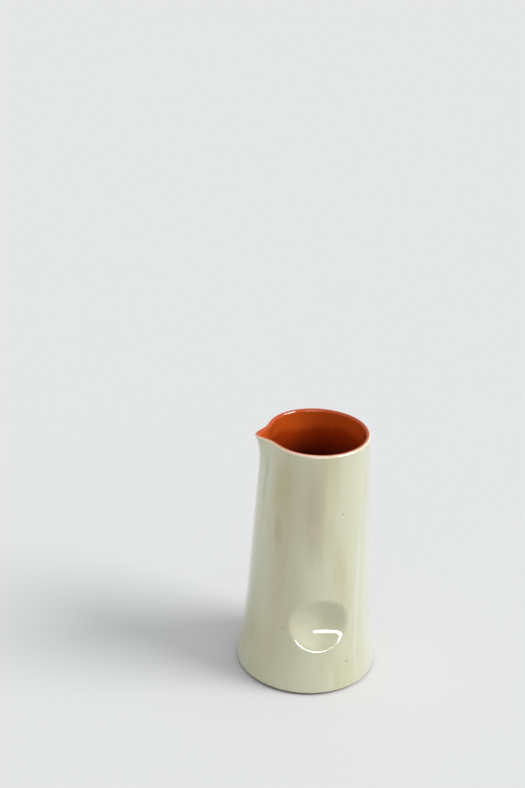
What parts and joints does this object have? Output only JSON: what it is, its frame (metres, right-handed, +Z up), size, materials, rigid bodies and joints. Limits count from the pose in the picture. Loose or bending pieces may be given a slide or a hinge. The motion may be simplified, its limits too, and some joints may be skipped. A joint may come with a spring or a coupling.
{
  "type": "pitcher",
  "caption": "Slim handleless ceramic pitcher with a pulled spout, a flared foot, a pressed thumb dimple, pale celadon glaze outside and amber glaze inside.",
  "frame": {"origin": "on the table, under the axis of the body", "axes": "+Z up along the axis of the body, -X towards the spout, -Y towards the thumb dimple"},
  "size_m": [0.1148, 0.1148, 0.21],
  "materials": {
    "clay": "matte",
    "celadon_glaze": "satin",
    "amber_glaze": "gloss",
    "lip_glaze": "satin"
  },
  "bodies": {
    "root": {"clay_wall": "clay", "clay_floor": "clay", "outer_glaze": "celadon_glaze", "inner_glaze": "amber_glaze", "lip_glaze": "lip_glaze"}
  },
  "joints": []
}
